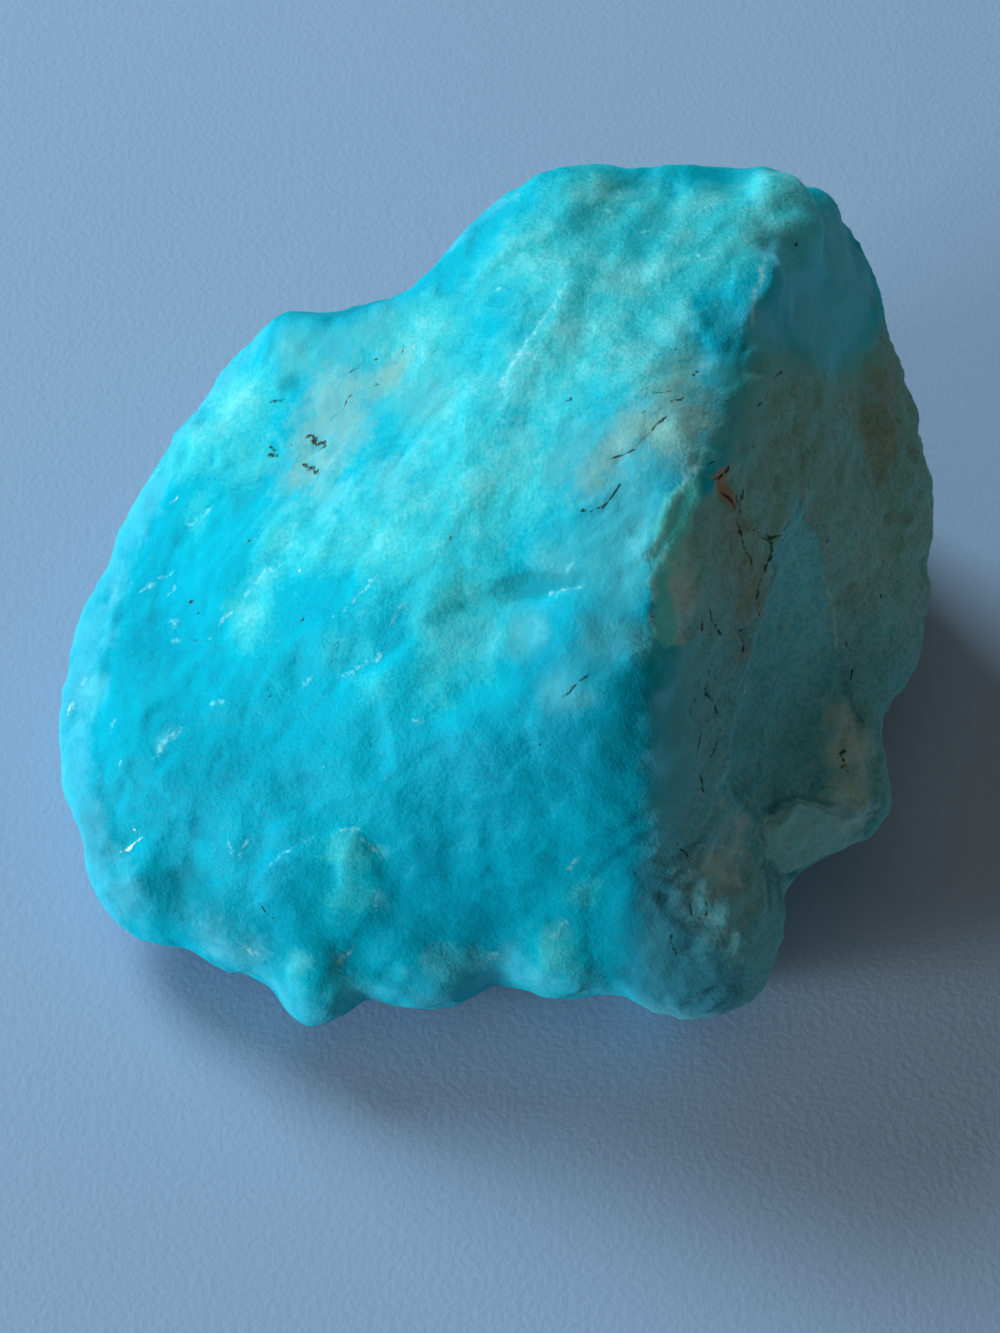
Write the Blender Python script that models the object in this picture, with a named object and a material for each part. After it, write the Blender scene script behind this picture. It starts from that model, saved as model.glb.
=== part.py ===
"""A raw lump of massive hemimorphite, about as wide as a plum: one broken piece of waxy blue mineral.

It lies on a flat patch of its underside. A broad broken face slopes up from the left edge to a
ridge on the right. Right of the ridge the side drops steeply, and holds a gully with a small shelf
at its foot. Grape-like lobes hang along the front rim, clear of the ground.

Frame: +X right, +Y to the back, +Z up; the origin is the middle of the box, at the ground.
Every length below is in millimetres, and goes through MM where it meets Blender.
"""

from math import pi, radians

import bmesh
import bpy
import numpy as np
from mathutils import Matrix, Vector, noise

MM = 0.001
STONE_BLUE = (0.02, 0.45, 0.6, 1.0)
STONE_ROUGHNESS = 0.4

# The broken block's corners. Its faces are the flats between them.
BLOCK = {
    "ridge_back": (19.8, 22.6, 37.6),
    "ridge_upper": (16.5, 6.9, 38.5),
    "ridge_middle": (13.5, -4.0, 37.5),
    "ridge_notch": (10.5, -9.4, 35.0),
    "ridge_lower": (9.5, -16.9, 31.0),
    "ridge_foot": (9.1, -21.2, 24.5),
    "ridge_toe": (9.8, -23.8, 12.0),
    "crest_peak": (6.3, 24.6, 35.5),
    "crest_left": (2.1, 24.6, 34.0),
    "crest_right": (13.8, 23.2, 37.0),
    "back_left": (-17.2, 20.3, 24.5),
    "back_left_low": (-20.0, 18.9, 22.0),
    "left_upper": (-24.6, 13.4, 18.5),
    "left_shoulder": (-26.6, 8.8, 16.0),
    "left_middle": (-29.0, 6.0, 13.5),
    "left_tip_back": (-31.0, 1.6, 11.0),
    "left_tip": (-32.5, -3.5, 9.5),
    "left_tip_front": (-32.2, -8.9, 8.5),
    "left_low": (-29.9, -14.0, 8.0),
    "front_left": (-26.6, -18.6, 7.5),
    "front_corner": (-23.2, -21.4, 6.5),
    "face_high": (0.0, 10.1, 34.5),
    "face_middle": (-5.3, -5.5, 29.5),
    "face_left": (-18.6, -2.5, 20.5),
    "face_low_right": (2.0, -18.4, 25.0),
    "face_lowest": (-13.9, -19.6, 11.4),
    "face_foot": (-1.3, -20.7, 16.4),
    "front_lobe": (-4.8, -24.4, 6.0),
    "front_pale": (4.1, -24.4, 6.0),
    "front_right": (13.7, -25.8, 6.0),
    "front_right_corner": (18.2, -22.6, 7.0),
    "right_back": (23.6, 25.6, 32.0),
    "right_upper": (26.6, 24.8, 25.0),
    "right_flank": (28.6, 22.1, 21.0),
    "right_middle": (29.6, 16.3, 19.0),
    "right_edge": (30.7, 12.4, 17.5),
    "right_tip": (31.6, 9.0, 16.0),
    "right_bulge": (31.5, 2.1, 12.5),
    "right_low": (29.6, -2.0, 10.5),
    "back_bulge": (8.0, 28.0, 20.0),
    "back_low": (4.0, 26.5, 8.0),
    "back_left_foot": (-14.0, 21.0, 7.0),
    "back_right_foot": (24.0, 23.0, 7.0),
    "under_left": (-26.0, -4.0, 3.5),
    "under_front_left": (-19.5, -17.0, 3.0),
    "under_front": (4.0, -21.0, 2.5),
    "under_front_right": (14.0, -20.5, 2.5),
    "under_right": (24.0, 4.0, 3.0),
    "under_back_right": (21.0, 19.0, 2.0),
    "under_back_left": (-12.0, 18.0, 2.0),
    "base_left": (-18.0, -3.0, -1.0),
    "base_front_left": (-14.0, -12.0, -1.0),
    "base_front": (4.0, -16.0, -1.0),
    "base_front_right": (12.0, -15.5, -1.0),
    "base_right": (18.0, -2.0, -1.0),
    "base_back_right": (17.0, 15.0, -1.0),
    "base_back_left": (-8.0, 14.0, -1.0),
}

# The shelf at the gully's foot.
SHELF = {
    "out": (27.4, -13.2, 12.0),
    "out_low": (26.0, -15.4, 10.0),
    "low": (21.9, -16.8, 8.6),
    "left_low": (19.7, -17.6, 8.8),
    "left": (17.9, -17.2, 14.0),
    "top": (20.4, -15.6, 15.6),
    "top_right": (25.4, -13.9, 13.0),
    "back": (27.4, -6.8, 12.4),
    "root_back": (26.0, 0.0, 14.0),
    "root_left": (15.0, -6.0, 15.0),
    "root_low": (19.0, -6.0, 6.0),
}

# What broke away above the shelf and left the gully.
GULLY = {
    "apex": (20.2, 0.6, 28.6),
    "left_high": (17.8, -5.0, 25.6),
    "left_middle": (15.6, -10.4, 22.2),
    "left_low": (14.6, -16.4, 17.6),
    "floor_left": (18.0, -14.5, 14.4),
    "floor_middle": (20.5, -8.5, 14.2),
    "right_low": (25.0, -5.0, 13.4),
    "right_middle": (23.8, -1.6, 18.4),
    "outside_low": (31.0, -19.0, 13.6),
    "outside_left": (17.6, -19.5, 24.0),
    "outside_high": (26.0, -4.0, 38.0),
    "outside_right": (34.0, -4.0, 15.0),
}

# What broke away under the shelf, so that it overhangs.
UNDERCUT = {
    "inner_top": (19.5, -13.0, 8.0),
    "inner_left": (18.4, -15.6, 5.0),
    "inner_back": (23.0, -6.0, 7.0),
    "foot_left": (18.4, -15.0, -2.0),
    "foot_back": (22.0, -6.0, -2.0),
    "outside_front": (24.0, -26.0, 8.0),
    "outside_foot": (24.0, -26.0, -2.0),
    "outside_right": (36.0, -10.0, 8.4),
    "outside_right_foot": (36.0, -10.0, -2.0),
}

# Rounded lobes along the rims: middle, radii, and turn about +Z in degrees.
LOBES = {
    "left": ((-24.4, -15.8, 5.8), (4.8, 6.2, 3.8), 30.0),
    "round": ((-12.8, -16.8, 8.0), (7.0, 6.6, 6.8), 0.0),
    "under_round": ((-17.0, -18.4, 6.6), (5.8, 5.4, 5.0), 0.0),
    "nub": ((-12.6, -22.4, 5.4), (3.4, 5.0, 4.4), 0.0),
    "wide": ((-4.8, -19.4, 6.6), (7.2, 6.6, 5.8), 0.0),
    "pale": ((4.4, -20.0, 7.2), (4.8, 6.0, 6.2), 0.0),
    "right": ((13.0, -20.0, 8.4), (6.8, 7.2, 8.0), 0.0),
    "back_low": ((-4.0, 21.0, 6.6), (8.0, 6.0, 5.6), 10.0),
    "back_corner": ((19.6, 19.8, 8.6), (7.0, 6.2, 6.8), 0.0),
    "left_low": ((-23.6, 0.8, 7.4), (6.0, 8.0, 5.4), 15.0),
}

# Hollows that broke away: middle, radii, and turn about +Z in degrees.
SCOOPS = {
    "crest_dip": ((-11.6, 27.4, 34.0), (11.0, 12.0, 12.8), -28.0),
    "right_nick": ((34.2, 5.2, 14.0), (3.4, 2.0, 9.0), 0.0),
    "back_shell": ((-6.0, 46.0, 18.0), (17.0, 22.0, 12.0), -12.0),
    "back_chip": ((18.0, 42.0, 26.0), (9.0, 16.0, 9.0), 10.0),
}

# Edges that stay crisp while the rest of the block is worn round.
CRISP_LINES = (
    ((17.8, 13.0, 37.8), (16.5, 6.9, 38.5), (14.5, -2.0, 37.4), (11.5, -7.5, 35.8), (10.5, -12.0, 34.0)),
    ((20.2, -0.4, 28.8), (17.9, -5.4, 28.3), (16.0, -10.3, 26.0), (15.0, -16.6, 20.3)),
    ((17.9, -17.2, 14.0), (20.4, -15.6, 15.6), (25.4, -13.9, 13.0), (27.4, -13.2, 12.0)),
    ((17.9, -17.2, 14.0), (19.0, -17.8, 10.0), (21.9, -16.8, 8.6), (26.0, -15.4, 10.0)),
)
CRISP_REACH = 3.0

# Low swellings worn into the faces: middle, radius, height. A negative height is a hollow.
SWELLINGS = {
    "pale_bulge": ((9.2, 0.1, 36.5), 7.5, 0.9),
    "face_hollow": ((-0.6, -11.0, 28.0), 8.0, -0.7),
    "stain_hollow": ((-12.0, 8.0, 26.0), 9.0, -0.6),
    "crest_bulge": ((3.0, 17.0, 35.0), 8.0, 0.6),
    "left_hollow": ((-20.6, -16.6, 9.8), 5.0, -0.9),
    "left_bulge": ((-25.5, -9.0, 12.6), 7.0, 0.6),
    "band_hollow": ((14.0, -14.0, 27.0), 5.5, -0.8),
    "flank_hollow": ((25.6, 9.0, 25.0), 8.0, -0.9),
    "under_hollow": ((-16.0, 8.0, 3.0), 8.0, -1.2),
    "left_foot_hollow": ((-27.0, -7.0, 4.5), 5.0, -0.8),
    "back_hollow": ((14.0, 27.0, 16.0), 8.0, -1.1),
    "back_left_hollow": ((-13.0, 21.0, 14.0), 7.0, -1.0),
}

# Long folds in the faces: the line of the fold, its reach to each side and its height.
FOLDS = {
    "ridge_trough": (((15.2, 10.0, 37.9), (14.5, 7.3, 38.0), (13.2, 1.5, 37.5)), 3.0, -0.9),
    "pale_step": (((9.0, 5.5, 37.0), (11.5, 0.5, 37.2), (10.6, -4.0, 36.2)), 3.2, 0.5),
    "streak": (((-2.4, -1.0, 31.2), (0.0, 4.8, 33.5), (4.1, 11.1, 35.4)), 3.0, 0.5),
    "face_groove": (((-14.0, -10.2, 21.2), (-7.1, -9.5, 25.9), (-2.2, -8.8, 29.3), (3.0, -8.5, 32.0)), 2.8, -0.35),
    "face_fold": (((-24.0, -4.0, 17.0), (-16.0, 2.0, 22.6), (-10.0, 4.5, 26.8)), 3.4, 0.4),
    "low_fold": (((-22.0, -12.0, 11.8), (-14.0, -13.6, 17.2), (-8.0, -15.0, 20.5)), 3.6, 0.35),
    "front_fold": (((-1.0, -14.0, 26.0), (0.6, -19.0, 21.5), (1.0, -22.0, 15.0)), 3.6, 0.5),
    "crest_nick_left": (((8.6, 20.0, 36.0), (9.6, 25.0, 35.6)), 2.4, -0.8),
    "crest_nick_right": (((15.6, 19.5, 37.3), (16.6, 25.0, 36.6)), 2.8, -0.8),
    "buttress": (((24.6, -3.0, 16.5), (26.2, -8.6, 13.6), (26.6, -12.0, 12.4)), 3.4, 0.3),
}

# Grape-like domes with a clear rim, half sunk in the surface: middle, radius, height.
DOMES = {
    "round": ((-11.9, -21.2, 13.6), 5.4, 1.0),
    "pale": ((4.3, -24.4, 9.6), 4.8, 0.4),
    "wide": ((-5.0, -24.2, 9.0), 6.0, 0.3),
    "right_low": ((14.2, -25.2, 11.0), 6.6, 0.5),
    "right_high": ((12.4, -22.0, 18.0), 4.6, 0.5),
    "back_a": ((-9.0, 24.0, 9.0), 5.4, 1.1),
    "back_b": ((0.0, 27.0, 12.0), 6.2, 1.2),
    "back_c": ((9.0, 28.0, 8.5), 5.6, 1.2),
    "back_d": ((17.5, 25.5, 13.5), 5.6, 1.0),
    "left_a": ((-22.5, 9.5, 9.5), 5.0, 1.0),
    "left_b": ((-27.5, 3.0, 7.5), 4.4, 0.9),
}

# Steps in the faces: the line of the lip, the way down from it, its drop and how far it fades.
LEDGES = {
    "face_lip": (((-5.5, -9.3, 27.2), (-1.3, -8.3, 30.0), (1.3, -8.0, 31.4), (5.6, -8.6, 32.9)),
                 (0.2, -1.0, -0.5), 0.4, 5.0),
    "band": (((13.6, -3.6, 37.0), (11.4, -6.9, 35.9), (10.6, -11.5, 34.0), (10.4, -16.0, 31.0)),
             (1.0, -0.3, -0.6), 0.7, 3.0),
    "back_upper": (((-12.0, 22.0, 20.0), (-2.0, 25.5, 24.0), (8.0, 27.0, 24.0), (18.0, 25.6, 27.0)),
                   (0.0, 0.2, -1.0), 1.1, 6.0),
    "back_lower": (((-6.0, 25.0, 14.0), (4.0, 27.5, 16.0), (14.0, 26.8, 14.0), (22.0, 24.0, 17.0)),
                   (0.0, 0.2, -1.0), 0.9, 5.0),
    "flank": (((22.0, 17.0, 31.0), (25.5, 12.0, 25.5), (27.0, 5.0, 21.0), (28.0, 0.0, 16.0)),
              (1.0, 0.2, -0.4), 0.7, 4.0),
}

# How wide a step's lip is, from its top to its foot.
LIP_WIDTH = 1.2

# Rough broken relief over everything: wave length and height.
RELIEF = ((11.0, 0.55), (5.0, 0.24), (2.6, 0.10))

# The size of the skin's squares, and how many turns of wear go over all edges and over the faces.
VOXEL = 0.55
EDGE_WEAR = 6
FACE_WEAR = 46
WEAR_SHARE = 0.5
WEAR_LEVELS = 10

# The faces spent on the whole stone, and how near the ground a point may lie to be put on it.
TRIANGLES = 9400
GROUND_SNAP = 0.12


def link(name, shape):
    """Puts a bmesh in the scene as an object, and frees it."""
    mesh = bpy.data.meshes.new(name)
    shape.to_mesh(mesh)
    shape.free()
    made = bpy.data.objects.new(name, mesh)
    bpy.context.scene.collection.objects.link(made)
    return made


def hull(name, corners):
    """A closed block with flat faces between its corners."""
    shape = bmesh.new()
    for corner in corners.values():
        shape.verts.new(Vector(corner) * MM)
    bmesh.ops.convex_hull(shape, input=shape.verts)
    bmesh.ops.recalc_face_normals(shape, faces=shape.faces)
    return link(name, shape)


def egg(name, middle, radii, turn):
    """A stretched ball."""
    shape = bmesh.new()
    bmesh.ops.create_icosphere(shape, subdivisions=4, radius=MM)
    place = (
        Matrix.Translation(Vector(middle) * MM)
        @ Matrix.Rotation(radians(turn), 4, "Z")
        @ Matrix.Diagonal((*radii, 1.0))
    )
    bmesh.ops.transform(shape, matrix=place, verts=shape.verts)
    return link(name, shape)


def settle(stone):
    """Makes the stone's modified shape its own mesh."""
    shown = stone.evaluated_get(bpy.context.evaluated_depsgraph_get())
    mesh = bpy.data.meshes.new_from_object(shown)
    stone.modifiers.clear()
    stone.data = mesh


def combine(stone, tool, operation):
    """Joins a tool shape to the stone, or cuts it away, and removes the tool."""
    modifier = stone.modifiers.new(tool.name, "BOOLEAN")
    modifier.object = tool
    modifier.operation = operation
    settle(stone)
    bpy.data.objects.remove(tool)


def fuse(stone):
    """Gives the joined shapes one even skin."""
    modifier = stone.modifiers.new("fuse", "REMESH")
    modifier.mode = "VOXEL"
    modifier.voxel_size = VOXEL * MM
    settle(stone)


def points_of(stone):
    """The stone's points in millimetres, and the way that its surface faces at each."""
    count = len(stone.data.vertices)
    points = np.empty(3 * count)
    facing = np.empty(3 * count)
    stone.data.vertices.foreach_get("co", points)
    stone.data.vertex_normals.foreach_get("vector", facing)
    return points.reshape(-1, 3) / MM, facing.reshape(-1, 3)


def move_points(stone, points):
    stone.data.vertices.foreach_set("co", (points * MM).ravel())
    stone.data.update()


def nearest_on_line(points, line):
    """For each point, the nearest spot on a line of straight stretches, and its share of the way."""
    corners = np.array(line, float)
    lengths = np.linalg.norm(np.diff(corners, axis=0), axis=1)
    starts = np.concatenate([[0.0], np.cumsum(lengths)])
    best = np.full(len(points), np.inf)
    spots = np.zeros_like(points)
    shares = np.zeros(len(points))
    for a, b, length, start in zip(corners, corners[1:], lengths, starts):
        along = np.clip((points - a) @ (b - a) / length**2, 0.0, 1.0)
        spot = a + along[:, None] * (b - a)
        gap = np.linalg.norm(points - spot, axis=1)
        nearer = gap < best
        best[nearer] = gap[nearer]
        spots[nearer] = spot[nearer]
        shares[nearer] = (start + along[nearer] * length) / starts[-1]
    return best, spots, shares


def wear(stone):
    """Rounds every edge a little, and all but the crisp ones a good deal more."""
    points, _ = points_of(stone)
    weights = np.ones(len(points))
    for line in CRISP_LINES:
        gap, _, _ = nearest_on_line(points, line)
        weights = np.minimum(weights, np.clip(gap / CRISP_REACH, 0.0, 1.0) ** 2)
    group = stone.vertex_groups.new(name="worn")
    for level in range(1, WEAR_LEVELS + 1):
        chosen = np.flatnonzero(np.round(weights * WEAR_LEVELS) == level)
        group.add(chosen.tolist(), level / WEAR_LEVELS, "REPLACE")
    for name, turns, masked in (("edges", EDGE_WEAR, False), ("faces", FACE_WEAR, True)):
        modifier = stone.modifiers.new(name, "SMOOTH")
        modifier.factor = WEAR_SHARE
        modifier.iterations = turns
        if masked:
            modifier.vertex_group = group.name
    settle(stone)


def swelling_rise(points):
    """How far the swellings and the domes push each point out."""
    rise = np.zeros(len(points))
    for middle, radius, height in SWELLINGS.values():
        share = np.linalg.norm(points - middle, axis=1) / radius
        rise += height * np.clip(1.0 - share**2, 0.0, 1.0) ** 2
    for middle, radius, height in DOMES.values():
        share = np.linalg.norm(points - middle, axis=1) / radius
        rise += height * np.clip(1.0 - share**2, 0.0, 1.0)
    return rise


def fold_rise(points):
    """How far the long folds push each point out."""
    rise = np.zeros(len(points))
    for line, reach, height in FOLDS.values():
        gap, _, shares = nearest_on_line(points, line)
        rise += height * np.clip(1.0 - (gap / reach) ** 2, 0.0, 1.0) ** 2 * np.sin(pi * (0.1 + 0.8 * shares))
    return rise


def ledge_rise(points):
    """How far the ledges let each point down."""
    rise = np.zeros(len(points))
    for line, down, drop, reach in LEDGES.values():
        gap, spots, shares = nearest_on_line(points, line)
        depth = (points - spots) @ np.array(down) / np.linalg.norm(down)
        below = np.clip(depth / LIP_WIDTH + 0.5, 0.0, 1.0)
        fade = np.clip(1.0 - gap / reach, 0.0, 1.0) ** 2
        rise -= drop * below * fade * np.sin(pi * shares) ** 0.5
    return rise


def relief_rise(points):
    """Uneven broken relief, from a few lengths of noise."""
    rise = np.zeros(len(points))
    for length, height in RELIEF:
        rise += height * np.array([noise.noise(Vector(p)) for p in points / length])
    return rise


def carve(stone):
    points, facing = points_of(stone)
    rise = swelling_rise(points) + fold_rise(points) + ledge_rise(points) + relief_rise(points)
    move_points(stone, points + rise[:, None] * facing)


def thin(stone):
    """Spends the faces where the shape turns."""
    modifier = stone.modifiers.new("thin", "DECIMATE")
    stone.data.calc_loop_triangles()
    modifier.ratio = TRIANGLES / len(stone.data.loop_triangles)
    settle(stone)


def flatten_base(stone):
    """Cuts the underside off at the ground, so that the stone has a flat patch to lie on."""
    shape = bmesh.new()
    shape.from_mesh(stone.data)
    cut = bmesh.ops.bisect_plane(
        shape,
        geom=shape.verts[:] + shape.edges[:] + shape.faces[:],
        dist=GROUND_SNAP * MM,
        plane_co=(0.0, 0.0, 0.0),
        plane_no=(0.0, 0.0, 1.0),
        use_snap_center=True,
        clear_inner=True,
    )
    corners = [piece for piece in cut["geom_cut"] if isinstance(piece, bmesh.types.BMVert)]
    bmesh.ops.remove_doubles(shape, verts=corners, dist=GROUND_SNAP * MM)
    rim = [edge for edge in shape.edges if edge.is_boundary]
    bmesh.ops.contextual_create(shape, geom=rim)
    bmesh.ops.triangulate(shape, faces=shape.faces)
    shape.to_mesh(stone.data)
    shape.free()


def centre(stone):
    """Brings the middle of the stone's box over the origin."""
    points, _ = points_of(stone)
    middle = (points.min(axis=0) + points.max(axis=0)) / 2
    middle[2] = 0.0
    move_points(stone, points - middle)


def finish(stone):
    material = bpy.data.materials.new("hemimorphite")
    material.use_nodes = True
    shader = material.node_tree.nodes["Principled BSDF"]
    shader.inputs["Base Color"].default_value = STONE_BLUE
    shader.inputs["Roughness"].default_value = STONE_ROUGHNESS
    stone.data.materials.clear()
    stone.data.materials.append(material)


def build():
    for old in list(bpy.data.objects):
        bpy.data.objects.remove(old)
    stone = hull("hemimorphite", BLOCK)
    combine(stone, hull("gully", GULLY), "DIFFERENCE")
    combine(stone, hull("shelf", SHELF), "UNION")
    combine(stone, hull("undercut", UNDERCUT), "DIFFERENCE")
    for name, (middle, radii, turn) in LOBES.items():
        combine(stone, egg(name, middle, radii, turn), "UNION")
    for name, (middle, radii, turn) in SCOOPS.items():
        combine(stone, egg(name, middle, radii, turn), "DIFFERENCE")
    fuse(stone)
    wear(stone)
    carve(stone)
    thin(stone)
    flatten_base(stone)
    centre(stone)
    finish(stone)


build()
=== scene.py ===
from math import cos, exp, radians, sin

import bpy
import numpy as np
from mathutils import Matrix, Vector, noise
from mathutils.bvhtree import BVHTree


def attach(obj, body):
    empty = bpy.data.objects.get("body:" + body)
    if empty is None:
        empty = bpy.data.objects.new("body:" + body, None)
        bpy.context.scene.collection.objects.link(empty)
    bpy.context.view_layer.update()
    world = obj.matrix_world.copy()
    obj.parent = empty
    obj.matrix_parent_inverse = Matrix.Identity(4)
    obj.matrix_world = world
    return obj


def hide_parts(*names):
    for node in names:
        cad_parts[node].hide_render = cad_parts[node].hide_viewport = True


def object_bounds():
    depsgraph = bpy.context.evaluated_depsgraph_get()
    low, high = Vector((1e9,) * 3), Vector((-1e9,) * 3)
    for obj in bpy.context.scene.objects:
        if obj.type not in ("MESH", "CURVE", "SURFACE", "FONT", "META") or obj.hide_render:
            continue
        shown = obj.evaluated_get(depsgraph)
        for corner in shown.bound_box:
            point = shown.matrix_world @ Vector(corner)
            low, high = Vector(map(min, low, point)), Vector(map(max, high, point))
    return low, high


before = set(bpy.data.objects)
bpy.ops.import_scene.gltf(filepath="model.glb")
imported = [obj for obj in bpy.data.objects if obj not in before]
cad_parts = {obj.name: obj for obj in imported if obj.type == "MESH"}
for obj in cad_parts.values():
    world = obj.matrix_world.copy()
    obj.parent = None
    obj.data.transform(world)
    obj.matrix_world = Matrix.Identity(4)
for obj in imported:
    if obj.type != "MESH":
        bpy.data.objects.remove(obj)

# The looks of a raw piece of hemimorphite: its fine broken skin, its finish, the sheet of paper
# under it and the soft light round it. Some of the skin's colours are painted light and shade, as said
# where they are made.
#
# Lengths are in millimetres, and go through MM where they meet Blender. A spot on the stone is
# named by where it shows in the camera's view, in a frame of 1000 by 1333, and is found on the
# stone itself by a straight line of sight, so it stays on the skin from every side.

MM = 0.001
cad_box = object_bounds()

# The camera looks down at the stone from the front: its frame, the spot that it aims at and where
# that shows, then its height angle, distance and lens, and the view's units across at a distance of 1.
VIEW_SIZE = (1000.0, 1333.0)
VIEW_MIDDLE = (500.0, 600.0)
AIM = np.array((0.17, -0.07, 17.0))
CAMERA_HEIGHT_ANGLE = radians(55.0)
CAMERA_DISTANCE = 260.0
LENS = 100.0
SENSOR = 36.0
VIEW_SCALE = LENS / SENSOR * VIEW_SIZE[1]

# The skin's squares, and the turns of smoothing that take off the solid's facets. Smaller squares
# would pass the limit on triangles.
SKIN_SQUARE = 0.365
SKIN_TURNS = 6

# The stone's fibres run this way, up the sloping face.
GRAIN = np.array((0.66, 0.43, 0.61))

# Brings Blender's noise to about -1 to 1.
NOISE_GAIN = 1.7
# Without a seed, Blender draws the tilts of the chips anew from the clock in each run.
NOISE_SEED = 1795485827
# Keeps a division by a length safe.
TINY = 1e-9


# ---------------------------------------------------------------- the view

# How slowly the view's zones fade where the skin turns away from the eye.
TURN_FADE = 0.6
# A line in the view is laid on the stone in steps of about this length.
LINE_STEP = 9.0


def sight_axes():
    """The camera's eye, and the ways that it calls right, up and forwards."""
    forward = np.array((0.0, cos(CAMERA_HEIGHT_ANGLE), -sin(CAMERA_HEIGHT_ANGLE)))
    up = np.array((0.0, sin(CAMERA_HEIGHT_ANGLE), cos(CAMERA_HEIGHT_ANGLE)))
    return AIM - forward * CAMERA_DISTANCE, np.array((1.0, 0.0, 0.0)), up, forward


def view_of(points):
    """Where each point shows in the view."""
    eye, right, up, forward = sight_axes()
    away = points - eye
    scale = VIEW_SCALE / (away @ forward)
    return np.stack([VIEW_MIDDLE[0] + away @ right * scale, VIEW_MIDDLE[1] - away @ up * scale], axis=1)


def in_front(points, facing):
    """1 where the skin faces the eye, falling to 0 just round the edge where it turns away."""
    away = sight_axes()[0] - points
    return smooth((facing * away).sum(axis=1) / np.linalg.norm(away, axis=1) / TURN_FADE + 1.0)


def spot(tree, across, down):
    """The spot on the stone that shows at this place in the view, or None beside it."""
    eye, right, up, forward = sight_axes()
    way = forward * VIEW_SCALE + right * (across - VIEW_MIDDLE[0]) - up * (down - VIEW_MIDDLE[1])
    hit = tree.ray_cast(Vector(eye), Vector(way).normalized())[0]
    return None if hit is None else np.array(hit)


def path(tree, line):
    """A line in the view, across and down by turns, laid on the stone as a chain of near spots."""
    corners = np.array(line, float).reshape(-1, 2)
    spots = []
    for a, b in zip(corners, corners[1:]):
        count = max(1, round(np.linalg.norm(b - a) / LINE_STEP))
        for share in np.arange(count) / count:
            spots.append(spot(tree, *(a + (b - a) * share)))
    spots.append(spot(tree, *corners[-1]))
    return np.array([found for found in spots if found is not None])


# ---------------------------------------------------------------- fields on the skin

# Chips: how far each flat tilts, how unlike its neighbours it is, and how sharp the creases are.
CHIP_TILT = 1.8
CHIP_CONTRAST = 7.3
CHIP_SHARPNESS = 14.0
# The share of an overlapping plate's width that its drop takes.
PLATE_DROP = 0.14
# How fully a patch covers its middle.
PATCH_COVER = 0.9
# A line's mark fades out at this many times its reach.
LINE_FADE = 3.0


def smooth(value):
    """Turns 0 to 1 into a soft step."""
    value = np.clip(value, 0.0, 1.0)
    return value * value * (3.0 - 2.0 * value)


def along_path(points, chain):
    """Each point's gap to a chain of spots, its share along it, the nearest spot and the way there."""
    best = np.full(len(points), np.inf)
    share = np.full(len(points), 0.5)
    nearest = np.repeat(chain[:1], len(points), axis=0)
    way = np.zeros_like(points)
    if len(chain) == 1:
        return np.linalg.norm(points - chain[0], axis=1), share, nearest, way
    for number, (a, b) in enumerate(zip(chain, chain[1:])):
        along = np.clip((points - a) @ (b - a) / max(((b - a) ** 2).sum(), TINY), 0.0, 1.0)
        foot = a + along[:, None] * (b - a)
        gap = np.linalg.norm(points - foot, axis=1)
        nearer = gap < best
        best[nearer] = gap[nearer]
        share[nearer] = (number + along[nearer]) / (len(chain) - 1)
        nearest[nearer] = foot[nearer]
        way[nearer] = (b - a) / max(np.linalg.norm(b - a), TINY)
    return best, share, nearest, way


def clouds(points, size, seed):
    """Soft noise from about -1 to 1, with patches of about this size."""
    return np.array([noise.noise(place) for place in (points / size + seed).tolist()]) * NOISE_GAIN


def wander(points, size, amount, seeds):
    """A shift of about this amount for each point, which changes over about this size."""
    return amount * np.stack([clouds(points, size, seed) for seed in seeds], axis=1)


def stretched(points, times):
    """The points with the stone's grain drawn together, so that noise on them runs along it."""
    return points - (points @ GRAIN)[:, None] * GRAIN * (1.0 - 1.0 / times)


def chips(points, size, seed):
    """Small tilted flats that meet in creases, as where a brittle stone has broken."""
    tilts = {}
    rise = np.zeros(len(points))
    for number, place in enumerate((points / size + seed).tolist()):
        gaps, middles = noise.voronoi(place)
        total = 0.0
        height = 0.0
        for gap, middle in zip(gaps, middles):
            key = tuple(middle)
            if key not in tilts:
                tilts[key] = noise.noise_vector(middle * CHIP_CONTRAST) * CHIP_TILT
            weight = exp(-CHIP_SHARPNESS * (gap - gaps[0]))
            total += weight
            height += weight * (Vector(place) - middle).dot(tilts[key])
        rise[number] = height / total
    return rise * size


def plates(points, size, levels, seed):
    """Low plates that overlap: a gentle slope up, then a short crisp drop."""
    level = (clouds(points, size, seed) + 1.0) * levels
    share = level - np.floor(level)
    return share - smooth((share - 1.0 + PLATE_DROP) / PLATE_DROP)


def depth_in(places, outline):
    """How far inside an outline each place in the view is, below 0 outside it."""
    corners = np.array(outline, float).reshape(-1, 2)
    best = np.full(len(places), np.inf)
    inside = np.zeros(len(places), bool)
    for a, b in zip(corners, np.roll(corners, -1, axis=0)):
        along = np.clip((places - a) @ (b - a) / ((b - a) ** 2).sum(), 0.0, 1.0)
        best = np.minimum(best, np.linalg.norm(places - (a + along[:, None] * (b - a)), axis=1))
        if a[1] != b[1]:
            meets = a[0] + (places[:, 1] - a[1]) / (b[1] - a[1]) * (b[0] - a[0])
            inside ^= ((a[1] > places[:, 1]) != (b[1] > places[:, 1])) & (places[:, 0] < meets)
    return np.where(inside, best, -best)


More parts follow.
